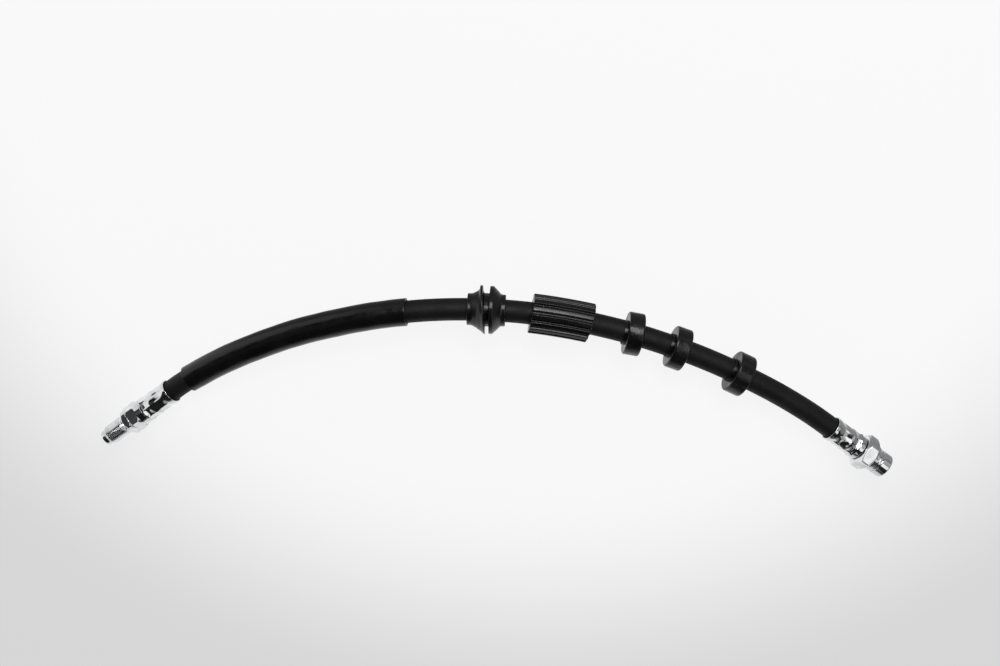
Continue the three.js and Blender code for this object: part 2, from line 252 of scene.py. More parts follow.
def dense(profile, step, fineStep=None, fineFrom=(0, 0)):
    # no stretch of the closed profile is longer than the step, which is finer beyond a place
    out = []
    for i, here in enumerate(profile):
        after = profile[(i + 1) % len(profile)]
        fine = fineStep and np.all((here + after) / 2 > fineFrom)
        parts = max(1, math.ceil(np.linalg.norm(after - here) / (fineStep if fine else step)))
        out.extend(here + (after - here) * k / parts for k in range(parts))
    return np.array(out)


def polygonRadius(columns, sides, flatRadius, soften=0.0, flatAt=0.0):
    # a polygon with a flat side at an angle; soften cuts its corners, as a share of its radius
    step = 2 * math.pi / sides
    turn = (angles(columns) - math.radians(flatAt) + step / 2) % step - step / 2
    radius = flatRadius / np.cos(turn)
    corner = flatRadius / math.cos(step / 2)
    return np.minimum(radius, corner * (1 - soften))


def ease(t):
    t = np.clip(t, 0, 1)
    return t * t * (3 - 2 * t)


def waveThrough(keys, a):
    # a line that is level at each key point
    keys = np.array(keys, float)
    i = np.clip(np.searchsorted(keys[:, 0], a, side="right") - 1, 0, len(keys) - 2)
    t = np.clip((a - keys[i, 0]) / (keys[i + 1, 0] - keys[i, 0]), 0, 1)
    t = (1 - np.cos(math.pi * t)) / 2
    return keys[i, 1] + (keys[i + 1, 1] - keys[i, 1]) * t


# shader node groups


def newGroup(name, inputs, outputs):
    group = bpy.data.node_groups.new(name, "ShaderNodeTree")
    for label, kind, value in inputs:
        socket = group.interface.new_socket(name=label, in_out="INPUT", socket_type=kind)
        if value is not None:
            socket.default_value = value
    for label, kind in outputs:
        group.interface.new_socket(name=label, in_out="OUTPUT", socket_type=kind)
    start = group.nodes.new("NodeGroupInput")
    end = group.nodes.new("NodeGroupOutput")
    return group, start, end


def addNode(tree, kind, **values):
    node = tree.nodes.new(kind)
    for key, value in values.items():
        setattr(node, key, value)
    return node


def connect(tree, source, target):
    # a socket or a plain number goes into the target socket
    if isinstance(source, (int, float, tuple)):
        target.default_value = source
    else:
        tree.links.new(source, target)


def mathNode(tree, operation, a, b):
    node = addNode(tree, "ShaderNodeMath", operation=operation)
    connect(tree, a, node.inputs[0])
    connect(tree, b, node.inputs[1])
    return node.outputs[0]


def spread(tree, value, low, high, outLow=0.0, outHigh=1.0):
    # an eased step from outLow at low to outHigh at high
    node = addNode(tree, "ShaderNodeMapRange", interpolation_type="SMOOTHSTEP")
    for source, index in ((value, 0), (low, 1), (high, 2), (outLow, 3), (outHigh, 4)):
        connect(tree, source, node.inputs[index])
    return node.outputs[0]


def noise(tree, vector, scale, detail, roughness):
    node = addNode(tree, "ShaderNodeTexNoise")
    connect(tree, vector, node.inputs["Vector"])
    connect(tree, scale, node.inputs["Scale"])
    connect(tree, detail, node.inputs["Detail"])
    connect(tree, roughness, node.inputs["Roughness"])
    return node.outputs["Fac"]


def makeMottle():
    # soft patches, as a value between Low and High
    group, start, end = newGroup(
        "mottle",
        [
            ("Vector", "NodeSocketVector", None),
            ("Scale", "NodeSocketFloat", 60.0),
            ("Low", "NodeSocketFloat", 0.4),
            ("High", "NodeSocketFloat", 0.6),
        ],
        [("Value", "NodeSocketFloat")],
    )
    patches = noise(group, start.outputs["Vector"], start.outputs["Scale"], 4.0, 0.55)
    even = spread(group, patches, 0.36, 0.64)
    width = mathNode(group, "SUBTRACT", start.outputs["High"], start.outputs["Low"])
    value = mathNode(group, "MULTIPLY", even, width)
    group.links.new(mathNode(group, "ADD", value, start.outputs["Low"]), end.inputs["Value"])
    return group


def makeGrain():
    # fine moulded grain with a few larger dimples, as a height
    group, start, end = newGroup(
        "grain",
        [
            ("Vector", "NodeSocketVector", None),
            ("Scale", "NodeSocketFloat", 1500.0),
            ("Dimples", "NodeSocketFloat", 0.5),
        ],
        [("Height", "NodeSocketFloat")],
    )
    fine = noise(group, start.outputs["Vector"], start.outputs["Scale"], 2.0, 0.6)
    broad = mathNode(group, "MULTIPLY", start.outputs["Scale"], 0.14)
    slow = noise(group, start.outputs["Vector"], broad, 2.0, 0.5)
    slow = mathNode(group, "MULTIPLY", slow, start.outputs["Dimples"])
    group.links.new(mathNode(group, "ADD", fine, slow), end.inputs["Height"])
    return group


def makeDrawLines():
    # lines drawn along or turned round a surface, from its skin map, as a height
    group, start, end = newGroup(
        "drawLines",
        [
            ("Vector", "NodeSocketVector", None),
            ("Along", "NodeSocketFloat", 1.0),
            ("Around", "NodeSocketFloat", 200.0),
        ],
        [("Height", "NodeSocketFloat")],
    )
    split = addNode(group, "ShaderNodeSeparateXYZ")
    group.links.new(start.outputs["Vector"], split.inputs[0])
    join = addNode(group, "ShaderNodeCombineXYZ")
    for name, axis in (("Along", 0), ("Around", 1)):
        scaled = mathNode(group, "MULTIPLY", split.outputs[axis], start.outputs[name])
        group.links.new(scaled, join.inputs[axis])
    lines = noise(group, join.outputs[0], 1.0, 3.0, 0.6)
    group.links.new(lines, end.inputs["Height"])
    return group


def makeDust():
    # pale dust that settles on surfaces facing up, as a mask
    group, start, end = newGroup(
        "dust",
        [
            ("Vector", "NodeSocketVector", None),
            ("Scale", "NodeSocketFloat", 700.0),
            ("Amount", "NodeSocketFloat", 0.3),
        ],
        [("Mask", "NodeSocketFloat")],
    )
    specks = noise(group, start.outputs["Vector"], start.outputs["Scale"], 6.0, 0.7)
    specks = spread(group, specks, 0.6, 0.78)
    shape = addNode(group, "ShaderNodeNewGeometry")
    split = addNode(group, "ShaderNodeSeparateXYZ")
    group.links.new(shape.outputs["Normal"], split.inputs[0])
    level = spread(group, split.outputs[2], 0.1, 0.95)
    mask = mathNode(group, "MULTIPLY", specks, level)
    mask = mathNode(group, "MULTIPLY", mask, start.outputs["Amount"])
    group.links.new(mask, end.inputs["Mask"])
    return group


mottleGroup = makeMottle()
grainGroup = makeGrain()
drawGroup = makeDrawLines()
dustGroup = makeDust()


def useGroup(tree, group, **values):
    node = addNode(tree, "ShaderNodeGroup", node_tree=group)
    for key, value in values.items():
        connect(tree, value, node.inputs[key])
    return node.outputs[0]


def mixColor(tree, factor, a, b):
    node = addNode(tree, "ShaderNodeMix", data_type="RGBA")
    connect(tree, factor, node.inputs[0])
    for source, target in ((a, node.inputs[6]), (b, node.inputs[7])):
        connect(tree, source, target)
    return node.outputs[2]


def newMaterial(name):
    material = bpy.data.materials.new(name)
    material.use_nodes = True
    tree = material.node_tree
    shader = tree.nodes["Principled BSDF"]
    maps = addNode(tree, "ShaderNodeTexCoord").outputs
    return material, tree, shader, maps


def addBump(tree, shader, height, distance, under=None):
    # a bump from a height, over another bump if one is given
    bump = addNode(tree, "ShaderNodeBump")
    bump.inputs["Strength"].default_value = 1.0
    bump.inputs["Distance"].default_value = distance
    tree.links.new(height, bump.inputs["Height"])
    if under is not None:
        tree.links.new(under, bump.inputs["Normal"])
    tree.links.new(bump.outputs[0], shader.inputs["Normal"])
    return bump.outputs[0]


def gray(value, warm=0.0):
    return (value * (1 + warm), value, value * (1 - warm), 1.0)


# rubber

rubberLooks = {
    "hose": {
        "dark": gray(0.0052),
        "light": gray(0.0078),
        "rough": (0.5, 0.62),
        "grain": 2600.0,
        "grainDepth": 0.012 * mm,
        "dimples": 1.0,
        "lines": (3.0, 260.0),
        "lineDepth": 0.02 * mm,
        "dust": 0.10,
        "gloss": 0.25,
    },
    "sleeve": {
        "dark": gray(0.004),
        "light": gray(0.006),
        "rough": (0.18, 0.3),
        "grain": 1800.0,
        "grainDepth": 0.008 * mm,
        "dimples": 3.0,
        "lines": (2.0, 90.0),
        "lineDepth": 0.03 * mm,
        "dust": 0.08,
        "gloss": 0.4,
    },
    "moulded": {
        "dark": gray(0.004),
        "light": gray(0.0062),
        "rough": (0.2, 0.32),
        "grain": 1300.0,
        "grainDepth": 0.04 * mm,
        "dimples": 8.0,
        "lines": None,
        "dust": 0.14,
        "gloss": 0.4,
    },
}
rubberScales = {"patches": 55.0, "rough": 130.0, "dust": 900.0}
dustColor = gray(0.30, 0.03)


def addRoughness(tree, shader, place, scale, rough):
    # patches between a lower and a higher roughness
    low, high = rough
    patches = useGroup(tree, mottleGroup, Vector=place, Scale=scale, Low=low, High=high)
    tree.links.new(patches, shader.inputs["Roughness"])


def rubberMaterial(name, look):
    material, tree, shader, maps = newMaterial(name)
    place, skin = maps["Object"], maps["UV"]
    patches = useGroup(tree, mottleGroup, Vector=place, Scale=rubberScales["patches"], Low=0.0, High=1.0)
    color = mixColor(tree, patches, look["dark"], look["light"])
    dust = useGroup(tree, dustGroup, Vector=place, Scale=rubberScales["dust"], Amount=look["dust"])
    tree.links.new(mixColor(tree, dust, color, dustColor), shader.inputs["Base Color"])
    addRoughness(tree, shader, place, rubberScales["rough"], look["rough"])
    shader.inputs["Specular IOR Level"].default_value = look["gloss"]
    grain = useGroup(tree, grainGroup, Vector=place, Scale=look["grain"], Dimples=look["dimples"])
    normal = addBump(tree, shader, grain, look["grainDepth"])
    if look["lines"]:
        along, around = look["lines"]
        lines = useGroup(tree, drawGroup, Vector=skin, Along=along, Around=around)
        addBump(tree, shader, lines, look["lineDepth"], normal)
    return material


hoseRubber = rubberMaterial("hoseRubber", rubberLooks["hose"])
sleeveRubber = rubberMaterial("sleeveRubber", rubberLooks["sleeve"])
mouldedRubber = rubberMaterial("mouldedRubber", rubberLooks["moulded"])


# zinc plate

zincLook = {
    "bright": (0.86, 0.87, 0.88, 1.0),
    "dull": (0.62, 0.63, 0.64, 1.0),
    "clouds": 180.0,
    "mostDull": 0.7,
    "roughScale": 420.0,
    "grain": 900.0,
    "dimples": 1.5,
    "grainDepth": 0.007 * mm,
    "turned": {"rough": (0.07, 0.15), "lines": (420.0, 2.0), "depth": 0.006 * mm},
    "crimped": {"rough": (0.06, 0.13), "lines": (30.0, 30.0), "depth": 0.014 * mm},
}


def zincMaterial(name, finish):
    material, tree, shader, maps = newMaterial(name)
    place, skin = maps["Object"], maps["UV"]
    shader.inputs["Metallic"].default_value = 1.0
    look = zincLook
    cloud = useGroup(tree, mottleGroup, Vector=place, Scale=look["clouds"], Low=0.0, High=look["mostDull"])
    tree.links.new(mixColor(tree, cloud, look["bright"], look["dull"]), shader.inputs["Base Color"])
    addRoughness(tree, shader, place, look["roughScale"], finish["rough"])
    along, around = finish["lines"]
    lines = useGroup(tree, drawGroup, Vector=skin, Along=along, Around=around)
    normal = addBump(tree, shader, lines, finish["depth"])
    grain = useGroup(tree, grainGroup, Vector=place, Scale=look["grain"], Dimples=look["dimples"])
    addBump(tree, shader, grain, look["grainDepth"], normal)
    return material


turnedZinc = zincMaterial("turnedZinc", zincLook["turned"])
crimpedZinc = zincMaterial("crimpedZinc", zincLook["crimped"])


# hidden layers of the hose

layerLooks = {
    "liner": {
        "dark": gray(0.03, 0.05),
        "light": gray(0.05, 0.05),
        "patches": 240.0,
        "rough": (0.6, 0.75),
        "roughScale": 500.0,
        "grain": 2600.0,
        "dimples": 0.5,
        "grainDepth": 0.02 * mm,
    },
    "braid": {
        "dark": (0.42, 0.38, 0.28, 1),
        "light": (0.72, 0.68, 0.55, 1),
        "pitch": 320.0,
        "turn": 35,  # degrees that the yarns lean
        "waver": 0.6,
        "rough": 0.85,
        "depth": 0.15 * mm,
    },
}


def linerMaterial(look):
    material, tree, shader, maps = newMaterial("linerRubber")
    place = maps["Object"]
    patches = useGroup(tree, mottleGroup, Vector=place, Scale=look["patches"], Low=0.0, High=1.0)
    tree.links.new(mixColor(tree, patches, look["dark"], look["light"]), shader.inputs["Base Color"])
    addRoughness(tree, shader, place, look["roughScale"], look["rough"])
    grain = useGroup(tree, grainGroup, Vector=place, Scale=look["grain"], Dimples=look["dimples"])
    addBump(tree, shader, grain, look["grainDepth"])
    return material


def braidMaterial(look):
    # two sets of yarn cross each other
    material, tree, shader, maps = newMaterial("braidYarn")
    heights = []
    for turn in (look["turn"], -look["turn"]):
        mapping = addNode(tree, "ShaderNodeMapping")
        mapping.inputs["Rotation"].default_value = (0, math.radians(turn), math.radians(turn))
        tree.links.new(maps["Object"], mapping.inputs["Vector"])
        wave = addNode(tree, "ShaderNodeTexWave", bands_direction="X")
        wave.inputs["Scale"].default_value = look["pitch"]
        wave.inputs["Distortion"].default_value = look["waver"]
        tree.links.new(mapping.outputs[0], wave.inputs["Vector"])
        heights.append(wave.outputs["Fac"])
    weave = mathNode(tree, "MAXIMUM", *heights)
    tree.links.new(mixColor(tree, weave, look["dark"], look["light"]), shader.inputs["Base Color"])
    shader.inputs["Roughness"].default_value = look["rough"]
    addBump(tree, shader, weave, look["depth"])
    return material


def dressHiddenLayers():
    looks = {
        "hose_liner": linerMaterial(layerLooks["liner"]),
        "hose_braid": braidMaterial(layerLooks["braid"]),
    }
    for node, look in looks.items():
        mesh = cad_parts[node].data
        mesh.materials.clear()
        mesh.materials.append(look)


dressHiddenLayers()
print("materials made")


def finishPiece(obj, node):
    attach(obj, "root")
    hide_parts(node)
    return obj


def steelPiece(node, name, look, sharp, profile, radii):
    # a round piece in line with its ferrule, from a profile and radii in millimetres
    mouth, out = (maleMouth, maleOut) if node.startswith("male") else (femaleMouth, femaleOut)
    points = mouth + out * (profile[:, :1] * mm)
    directions = np.repeat(out[None], len(profile), 0)
    rows = ringRows(points, directions, radii * mm, radii.shape[1])
    obj = gridMesh(name, rows, profile[:, 0] * mm, look, sharp)
    return finishPiece(obj, node)


# ferrules

maleHex = {"flats": 13, "flatAt": 24.3}  # across the flats, and where one flat faces
femaleHex = {"flats": 16, "flatAt": -17.9}
hexSoften = 0.012  # share of the radius that is off the hexagons' corners
ferrules = {
    "male_ferrule": {
        "skin": [(0, 6.6), (1.0, 6.45), (6.8, 5.5), (11.1, 6.15), (14.8, 5.5), (17.2, 6.45)],
        "collar": [(20.8, 6.45, 0.3), (22.0, 7.56, 0.3), (25.3, 7.56, 0.2), (25.8, 7.0, 0.15)],
        "hexStart": 20.7,
        "pocket": 19.4,
        "turn": 8,
    },
    "female_ferrule": {
        "skin": [(0, 6.6), (1.0, 6.45), (6.1, 5.5), (10.7, 6.15), (14.0, 5.5), (15.8, 6.4)],
        "collar": [(18.6, 6.4, 0.4)],
        "hexStart": None,
        "pocket": 16.2,
        "turn": 31,
    },
}
crimp = {
    "jaws": 8,
    "wall": 0.75,
    "neckBore": 3.6,
    "lipEnd": 0.9,  # where the rounded lip meets the skin
    "pocketClear": 0.4,  # from the pocket's floor to the first row inside
    "collarFrom": 6.2,  # the radius beyond which the collar is a hexagon
    "outerStep": 0.16,
    "innerStep": 0.6,
    "ridge": 0.22,
    "ridgePower": 14,  # how narrow the ridges between the jaws are
    "flatness": 0.75,
    "waistReach": 2.3,
    "bulgeReach": 2.6,
    "bulgePress": 0.4,  # as a share of the press on the waists
    "dent": 0.07,
    "dentReach": 1.8,
    "seed": 7,
    "columns": 256,
}


def bell(a, middle, reach):
    return np.exp(-(((a - middle) / reach) ** 2))


def jawMarks(a, waists, bulge):
    # how deep the jaws press at each row, 1 at the waists and less on the bulge
    press = np.zeros_like(a)
    for waist in waists:
        press = np.maximum(press, bell(a, waist, crimp["waistReach"]))
    return np.maximum(press, crimp["bulgePress"] * bell(a, bulge, crimp["bulgeReach"]))


def ferruleProfile(data):
    # the closed outline of a ferrule, and which of its rows the jaws press
    keys = data["skin"]
    wall = crimp["wall"]
    lipEnd = crimp["lipEnd"]
    skinEnd = keys[-1][0]
    outer = np.arange(0, skinEnd, crimp["outerStep"])
    skin = np.stack([outer, waveThrough(keys, outer)], 1)[outer > lipEnd]
    lip = rounded([(0, keys[0][1] - wall, 0.25), (0, keys[0][1], 0.3), (lipEnd, keys[1][1], 0)])
    collar = rounded(
        [
            (skinEnd, keys[-1][1], 0.5),
            *data["collar"],
            (data["collar"][-1][0], crimp["neckBore"], 0.15),
            (data["pocket"], crimp["neckBore"], 0.15),
            (data["pocket"], keys[-1][1] - wall, 0.3),
        ]
    )
    innerStart = min(data["pocket"] - crimp["pocketClear"], skinEnd)
    inner = np.arange(innerStart, crimp["innerStep"], -crimp["innerStep"])
    inside = np.stack([inner, waveThrough(keys, inner) - wall], 1)
    profile = np.vstack([lip[:-1], skin, collar, inside])
    onSkin = np.zeros(len(profile))
    onSkin[len(lip) - 1 : len(lip) - 1 + len(skin)] = 1
    return profile, onSkin


def makeFerrule(node, data):
    profile, onSkin = ferruleProfile(data)
    a = profile[:, 0]
    frontWaist, bulge, backWaist = (key[0] for key in data["skin"][2:5])
    columns = crimp["columns"]
    jaws = crimp["jaws"]
    step = 2 * math.pi / jaws
    turn = angles(columns) + math.radians(data["turn"])
    fromJaw = (turn + step / 2) % step - step / 2
    flat = 1 / np.cos(fromJaw) - 1
    ridge = (0.5 + 0.5 * np.cos((turn - step / 2) * jaws)) ** crimp["ridgePower"]
    press = jawMarks(a, (frontWaist, backWaist), bulge) * onSkin
    rng = np.random.default_rng(crimp["seed"] + data["turn"])
    uneven = rng.uniform(-1, 1, (3, jaws))
    which = (((turn + step / 2) % (2 * math.pi)) / step).astype(int) % jaws
    dents = np.zeros((len(profile), columns))
    for k, middle in enumerate((frontWaist, bulge, backWaist)):
        dent = uneven[k][which] * np.cos(fromJaw) ** 2
        dents += bell(a, middle, crimp["dentReach"])[:, None] * dent[None]
    radii = (
        profile[:, 1:2] * (1 + press[:, None] * (flat[None] * crimp["flatness"]))
        + press[:, None] * ridge[None] * crimp["ridge"]
        + dents * crimp["dent"] * onSkin[:, None]
    )
    if data["hexStart"]:
        hexagon = polygonRadius(columns, 6, maleHex["flats"] / 2, hexSoften, maleHex["flatAt"])
        onCollar = (a > data["hexStart"]) & (profile[:, 1] > crimp["collarFrom"])
        radii[onCollar] = np.minimum(radii[onCollar], hexagon[None])
    return steelPiece(node, node + "_skin", crimpedZinc, 50, profile, radii)


makeFerrule("male_ferrule", ferrules["male_ferrule"])
femaleFerrule = makeFerrule("female_ferrule", ferrules["female_ferrule"])
print("ferrules made")


# unions

thread = {
    "pitch": 1.0,
    "depth": 0.6,
    "tappedDepth": 0.5,
    "root": 0.12,  # shares of half a pitch that are root and slope
    "slope": 0.70,
    "fade": 0.9,
    "runOut": 0.3,
    "mouthClear": (0.5, 0.4),  # from the socket's mouth to the last cut row, and to the thread's end
}
nipple = {
    "tip": 3,
    "radius": 1.25,
    "bore": 0.75,
    "neckRadius": 3.3,
    "shoulder": 1.5,  # from the neck's start to where the bore narrows
    "passage": 1.4,  # radius of the bore in front of the nipple
}
hexSpare = 0.05  # that the turned corners stand outside the hexagon before its flats are cut
offNeck = 0.2  # from the neck's skin to where the head's skin is taken to begin
near = 0.02  # what counts as the same place
maleUnion = {
    "neckStart": 19.7,
    "hexStart": 26.1,
    "hexEnd": 28.2,
    "bevel": (0.75, 0.3),
    "threadStart": 31.7,
    "threadEnd": 43.1,
    "tip": 45.9,
    "threadRadius": 4.9,
    "threadRise": 0.1,
    "threadChamfer": 0.7,
    "pilotRadius": 3.95,
    "pilotRise": 0.15,
    "pilotRamp": 0.5,
    "seatRadius": 2.6,
    "seatDepth": 1.9,
    "fineStep": 0.085,
}
femaleUnion = {
    "neckStart": 16.5,
    "hexStart": 18.9,
    "hexRamp": 20.6,
    "hexFlat": 24.3,
    "hexEnd": 26.3,
    "shoulderEnd": 27.6,
    "clipEnd": 28.9,
    "ridgeEnd": 29.8,
    "spigotStart": 30.6,
    "end": 35.8,
    "shoulderRadius": 6.8,
    "backRise": 0.6,
    "frontRise": 0.1,
    "grooveRadius": 5.65,
    "spigotRadius": 6.3,
    "tappedRadius": 4.45,
    "tappedDepth": 11,
    "mouthChamfer": 0.6,
    "drillPoint": 1.5,
    "fineStep": 0.11,
}
unionColumns = 192
coarseStep = 1.0  # between rows where nothing is cut


def threadWave(a, start, end):
    # 1 on the crests and 0 in the roots of a right-hand thread, faded at both ends
    phase = (a[:, None] - start) / thread["pitch"] - angles(unionColumns)[None] / (2 * math.pi)
    saw = np.abs((phase % 1) * 2 - 1)
    crest = np.clip((saw - thread["root"]) / thread["slope"], 0, 1)
    window = ease((a - start) / thread["fade"]) * ease((end - a) / thread["fade"])
    return 1 - (1 - crest) * window[:, None]


def unionProfile(u, head):
    # the closed outline of a union: its nipple's outside, its head and its nipple's bore
    shoulder = u["neckStart"] + nipple["shoulder"]
    outline = rounded(
        [
            (nipple["tip"], nipple["bore"], 0.1),
            (nipple["tip"], nipple["radius"], 0.2),
            (u["neckStart"], nipple["radius"], 0.1),
            (u["neckStart"], nipple["neckRadius"], 0.2),
            (u["hexStart"], nipple["neckRadius"], 0.1),
            *head,
            (shoulder, nipple["passage"], 0.1),
            (shoulder, nipple["bore"], 0.1),
        ]
    )
    return dense(outline, coarseStep, u["fineStep"], (u["hexStart"] - 0.05, nipple["neckRadius"] + 0.3))


def cutFlats(radii, rows, hexagon):
    flats = polygonRadius(unionColumns, 6, hexagon["flats"] / 2, hexSoften, hexagon["flatAt"])
    radii[rows] = np.minimum(radii[rows], flats[None])


def makeMaleUnion():
    u = maleUnion
    corner = maleHex["flats"] / math.sqrt(3)
    bevelLength, bevelHeight = u["bevel"]
    profile = unionProfile(
        u,
        [
            (u["hexStart"], maleHex["flats"] / 2 - bevelHeight, 0.12),
            (u["hexStart"] + bevelLength, corner + hexSpare, 0.1),
            (u["hexEnd"], corner + hexSpare, 0.3),
            (u["threadStart"], u["threadRadius"] + u["threadRise"], 0.5),
            (u["threadEnd"] - u["threadChamfer"], u["threadRadius"], 0.15),
            (u["threadEnd"], u["pilotRadius"] + u["pilotRise"], 0.15),
            (u["threadEnd"] + u["pilotRamp"], u["pilotRadius"], 0.2),
            (u["tip"], u["pilotRadius"], 0.55),
            (u["tip"], u["seatRadius"], 0.12),
            (u["tip"] - u["seatDepth"], nipple["passage"], 0.1),
        ],
    )
    a, r = profile.T
    radii = np.repeat(r[:, None], unionColumns, 1)
    outside = r > nipple["neckRadius"] + offNeck
    cutFlats(radii, outside & (a >= u["hexStart"] - near) & (a < u["threadStart"]), maleHex)
    threadStart, threadEnd = u["threadStart"] + thread["runOut"], u["threadEnd"] - thread["runOut"]
    onThread = outside & (a > threadStart) & (a < threadEnd)
    wave = threadWave(a, threadStart, threadEnd)
    radii[onThread] -= thread["depth"] * (1 - wave[onThread])
    return steelPiece("male_union", "male_union_turned", turnedZinc, 40, profile, radii)


def makeFemaleUnion():
    u = femaleUnion
    corner = femaleHex["flats"] / math.sqrt(3)
    tappedEnd = u["end"] - u["tappedDepth"]
    profile = unionProfile(
        u,
        [
            (u["hexStart"], u["shoulderRadius"] + u["backRise"], 0.25),
            (u["hexRamp"], corner + hexSpare, 0.3),
            (u["hexFlat"], corner + hexSpare, 0.4),
            (u["hexEnd"], u["shoulderRadius"] + u["frontRise"], 0.25),
            (u["shoulderEnd"], u["shoulderRadius"], 0.3),
            (u["shoulderEnd"], u["grooveRadius"], 0.2),
            (u["clipEnd"], u["grooveRadius"], 0.2),
            (u["clipEnd"], u["spigotRadius"], 0.2),
            (u["ridgeEnd"], u["spigotRadius"], 0.2),
            (u["ridgeEnd"], u["grooveRadius"], 0.2),
            (u["spigotStart"], u["grooveRadius"], 0.2),
            (u["spigotStart"], u["spigotRadius"], 0.25),
            (u["end"], u["spigotRadius"], 0.7),
            (u["end"], u["tappedRadius"] + u["mouthChamfer"], 0.15),
            (u["end"] - u["mouthChamfer"], u["tappedRadius"], 0.1),
            (tappedEnd, u["tappedRadius"], 0.1),
            (tappedEnd - u["drillPoint"], nipple["passage"], 0.1),
        ],
    )
    a, r = profile.T
    radii = np.repeat(r[:, None], unionColumns, 1)
    outside = (r > nipple["neckRadius"] + offNeck) & (r > u["tappedRadius"] + 1)
    cutFlats(radii, outside & (a >= u["hexStart"] - near) & (a < u["hexEnd"]), femaleHex)
    lastRow, threadEnd = (u["end"] - clear for clear in thread["mouthClear"])
    onThread = (np.abs(r - u["tappedRadius"]) < near) & (a > tappedEnd) & (a < lastRow)
    wave = threadWave(a, tappedEnd + thread["runOut"], threadEnd)
    radii[onThread] += thread["tappedDepth"] * (1 - wave[onThread])
    return steelPiece("female_union", "female_union_turned", turnedZinc, 40, profile, radii)


makeMaleUnion()
femaleEnd = makeFemaleUnion()
print("unions made")


# hose cover

squeeze = {
    "trim": 0.02,  # millimetres that the skin stays inside the solid
    "start": 0.4,  # how far inside the mouth the ferrule begins to press
    "gap": 0.35,  # between the ferrule's wall and the cover
}


def squeezedRadius(a, keys):
    # radius of the cover inside a ferrule, at a distance from the mouth in millimetres
    full = hose["diameter"] / 2 / mm - squeeze["trim"]
    inside = waveThrough(keys, np.maximum(a, 0)) - crimp["wall"] - squeeze["gap"]
    return np.where(a > squeeze["start"], np.minimum(full, inside), full)


def makeHoseCover():
    stations = np.linspace(-hose["maleInsert"], freeLength + hose["femaleInsert"], hose["rows"])
    fromMale = -stations / mm
    fromFemale = (stations - freeLength) / mm
    outer = np.minimum(
        squeezedRadius(fromMale, ferrules["male_ferrule"]["skin"]),
        squeezedRadius(fromFemale, ferrules["female_ferrule"]["skin"]),
    )
    inner = np.full(len(stations), hose["bore"] / mm)
    allStations = np.concatenate([stations, stations[::-1]])
    radii = np.concatenate([outer, inner])
    points, directions = onHose(allStations)
    rows = ringRows(points, directions, radii * mm, hose["columns"])
    obj = gridMesh("hose_cover_tube", rows, allStations, hoseRubber, 45)
    return finishPiece(obj, "hose_cover")


hoseCover = makeHoseCover()
print("hose cover made")


# protective sleeve

sleeve = {
    "start": 11.7,
    "length": 119.4,
    "outer": 6.75,
    "inner": 5.75,
    "slant": 0.5,  # how far each end is cut aslant
    "slantTurns": (0.6, 0.9),  # radians from the top to where each end is cut back furthest
    "slantFade": 60,  # the slant fades within one of so many parts of the length
    "sag": 0.10,  # soft unevenness of the wall
    "waves": [(19, 1, 0, 0.5), (41, -2, 1.3, 0.3), (67, 3, 0.4, 0.2)],  # along, around, phase, share
    "edge": 0.28,
    "rows": 150,
    "columns": 96,
}


def makeSleeve():
    start, end = sleeve["start"], sleeve["start"] + sleeve["length"]
    edge = sleeve["edge"]
    ends = rounded(
        [
            (start, sleeve["inner"], edge * 0.5),
            (start, sleeve["outer"], edge),
            (end, sleeve["outer"], edge),
            (end, sleeve["inner"], edge * 0.5),
        ]
    )
    profile = dense(ends, sleeve["length"] / sleeve["rows"])
    a, r = profile.T
    columns = sleeve["columns"]
    turn = angles(columns)[None]
    share = ((a - start) / sleeve["length"])[:, None]
    wave = sum(
        np.sin(share * along + turn * around + phase) * part
        for along, around, phase, part in sleeve["waves"]
    )
    onWall = r[:, None] > (sleeve["inner"] + sleeve["outer"]) / 2
    radii = r[:, None] + wave * sleeve["sag"] * onWall
    startTurn, endTurn = sleeve["slantTurns"]
    fade = sleeve["slantFade"]
    atStart = np.cos(turn + startTurn) * ease(1 - share * fade)
    atEnd = np.cos(turn - endTurn) * ease((share - 1) * fade + 1)
    slant = sleeve["slant"] * (atStart - atEnd)
    rows = np.empty((len(a), columns, 3))
    for j, angle in enumerate(angles(columns)):
        points, directions = onHose((a + slant[:, j]) * mm)
        up, side = cutAxes(directions)
        spoke = math.cos(angle) * up + math.sin(angle) * side
        rows[:, j] = points + radii[:, j : j + 1] * mm * spoke
    obj = gridMesh("protective_sleeve_tube", rows, a * mm, sleeveRubber, 50)
    return finishPiece(obj, "protective_sleeve")


protectiveSleeve = makeSleeve()
print("protective sleeve made")


# grommet

grommet = {
    "station": sleeve["start"] + sleeve["length"] + 29.6 + 9.25,
    "bore": 5.8,
    "hub": 7.7,
    "core": 8.1,
    "frontLip": 11.9,
    "rearLip": 11.6,
    "front": -1.2,  # the groove's two walls
    "rear": 1.5,
    "half": 9.25,
    "hubLength": 2.2,
    "frontCone": [(-4.5, 9.0, 0.6), (-3.0, 10.3, 0.5), (-2.2, 11.5, 0.25)],
    "frontRim": -1.9,
    "rearRim": 3.2,
    "rearCone": [(4.4, 10.5, 0.5), (5.9, 9.0, 0.8)],
    "coreSides": 8,
    "coreTrim": 0.985,  # the core's flats, as a share of its radius
    "coreInset": 0.3,
    "lean": 6,  # degrees that the front lip leans
    "leanTo": -114,  # degrees round the hose to the side that the lip leans to
    "leanReach": 1.3,
    "leanRise": 1.5,  # height over the core at which the lip leans in full
    "step": 0.4,
    "columns": 160,
}


